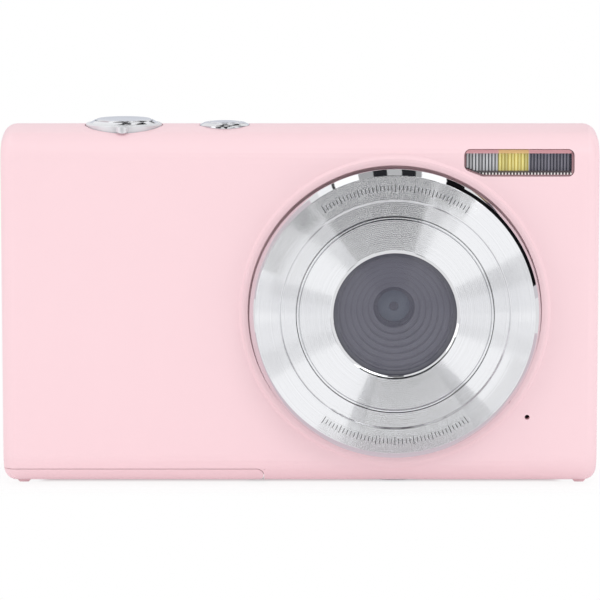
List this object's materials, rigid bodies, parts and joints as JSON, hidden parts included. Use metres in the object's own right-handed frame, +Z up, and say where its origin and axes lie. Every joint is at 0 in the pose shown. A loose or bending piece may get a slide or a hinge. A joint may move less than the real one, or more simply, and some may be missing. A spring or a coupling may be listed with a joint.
{
  "type": "compact digital camera",
  "caption": "Slim pink compact camera with a stepped spun lens bezel, ribbed flash window, top zoom ring and shutter, rear screen and keys, and a hinged battery door.",
  "frame": {"origin": "on the plane of the feet, under the middle of the overall box", "axes": "+X towards the right-hand end seen from the front, -Y out of the lens, +Z up"},
  "size_m": [0.096, 0.025, 0.0589],
  "materials": {
    "case_pink": "soft satin moulding, pale pink",
    "spun_chrome": "spun on a lathe, fine concentric lines",
    "polished_chrome": "bright plated",
    "dark_glass": "coated, smoky",
    "clear_lens": "polished, coated",
    "flash_clear": "clear, ribbed inside",
    "flash_bright": "bright reflector",
    "flash_yellow": "yellow phosphor",
    "screen_glass": "gloss black border",
    "black_plastic": "fine matt moulding",
    "sensor_dark": "dark gloss",
    "board_green": "solder mask",
    "steel": "plain bright",
    "contact_brass": "thin plated leaf",
    "ribbon_amber": "flat cable",
    "connector_cream": "moulded",
    "key_pale": "satin",
    "light_pipe": "clear light pipe",
    "foam": "soft foam",
    "battery_wrap": "wrapped cell"
  },
  "bodies": {
    "case": {"front_cover": "case_pink", "rear_cover": "case_pink", "lens_ring": "spun_chrome", "lens_cone": "spun_chrome", "power_bezel": "polished_chrome", "lens_window": "dark_glass", "front_lens": "clear_lens", "rear_lens": "clear_lens", "ir_filter": "clear_lens", "flash_window": "flash_clear", "flash_reflector": "flash_bright", "flash_led": "flash_yellow", "lcd_window": "screen_glass", "mid_frame": "black_plastic", "lens_baffle": "black_plastic", "lens_barrel": "black_plastic", "shutter_base": "black_plastic", "memory_card": "black_plastic", "board_chips": "black_plastic", "speaker": "black_plastic", "image_sensor": "sensor_dark", "lcd_panel": "sensor_dark", "sensor_board": "board_green", "flash_board": "board_green", "control_board": "board_green", "main_board": "board_green", "hinge_pin": "steel", "shutter_spring": "steel", "lcd_frame": "steel", "card_slot": "steel", "usb_socket": "steel", "tripod_nut": "steel", "strap_bar": "steel", "microphone": "steel", "button_switches": "steel", "case_screws": "steel", "frame_screws": "steel", "board_screws": "steel", "lens_screws": "steel", "control_screws": "steel", "zoom_switch": "contact_brass", "key_domes": "contact_brass", "battery_contacts": "contact_brass", "lcd_ribbon": "ribbon_amber", "sensor_connector": "connector_cream", "indicator_light": "light_pipe", "battery": "battery_wrap"},
    "shutter": {"shutter_button": "polished_chrome", "shutter_clip": "steel"},
    "zoom": {"zoom_lever": "polished_chrome"},
    "power": {"power_button": "polished_chrome"},
    "mode_key": {"key_mode": "key_pale"},
    "play_key": {"key_play": "key_pale"},
    "menu_key": {"key_menu": "key_pale"},
    "delete_key": {"key_delete": "key_pale"},
    "ok_key": {"key_ok": "key_pale"},
    "rocker": {"nav_rocker": "black_plastic"},
    "ring": {"nav_ring": "polished_chrome"},
    "door": {"battery_door": "case_pink", "door_pad": "foam"}
  },
  "joints": [
    {"name": "shutter_press", "type": "slide", "parent": "case", "child": "shutter", "axis": [0, 0, -1], "range_m": [0, 0.0008], "stiffness_N_per_m": 700, "deforming": ["shutter_spring"]},
    {"name": "zoom_turn", "type": "hinge", "parent": "case", "child": "zoom", "pos_m": [-0.0285, 0.00145, 0.057], "axis": [0, 0, 1], "range_deg": [-15, 15], "stiffness_Nm_per_rad": 0.03},
    {"name": "power_press", "type": "slide", "parent": "case", "child": "power", "axis": [0, 0, -1], "range_m": [0, 0.0005], "stiffness_N_per_m": 800},
    {"name": "mode_press", "type": "slide", "parent": "case", "child": "mode_key", "axis": [0, -1, 0], "range_m": [0, 0.0005], "stiffness_N_per_m": 800},
    {"name": "play_press", "type": "slide", "parent": "case", "child": "play_key", "axis": [0, -1, 0], "range_m": [0, 0.0005], "stiffness_N_per_m": 800},
    {"name": "menu_press", "type": "slide", "parent": "case", "child": "menu_key", "axis": [0, -1, 0], "range_m": [0, 0.0005], "stiffness_N_per_m": 800},
    {"name": "delete_press", "type": "slide", "parent": "case", "child": "delete_key", "axis": [0, -1, 0], "range_m": [0, 0.0005], "stiffness_N_per_m": 800},
    {"name": "ok_press", "type": "slide", "parent": "case", "child": "ok_key", "axis": [0, -1, 0], "range_m": [0, 0.0005], "stiffness_N_per_m": 800},
    {"name": "ring_rock_sideways", "type": "hinge", "parent": "case", "child": "rocker", "pos_m": [-0.033, 0.0071, 0.0293], "axis": [0, 0, 1], "range_deg": [-3, 3], "stiffness_Nm_per_rad": 0.05},
    {"name": "ring_rock_up_down", "type": "hinge", "parent": "rocker", "child": "ring", "pos_m": [-0.033, 0.00845, 0.0293], "axis": [1, 0, 0], "range_deg": [-3, 3], "stiffness_Nm_per_rad": 0.05},
    {"name": "battery_door_hinge", "type": "hinge", "parent": "case", "child": "door", "pos_m": [-0.00705, 0.00095, 0.00175], "axis": [0, -1, 0], "range_deg": [0, 90]}
  ]
}
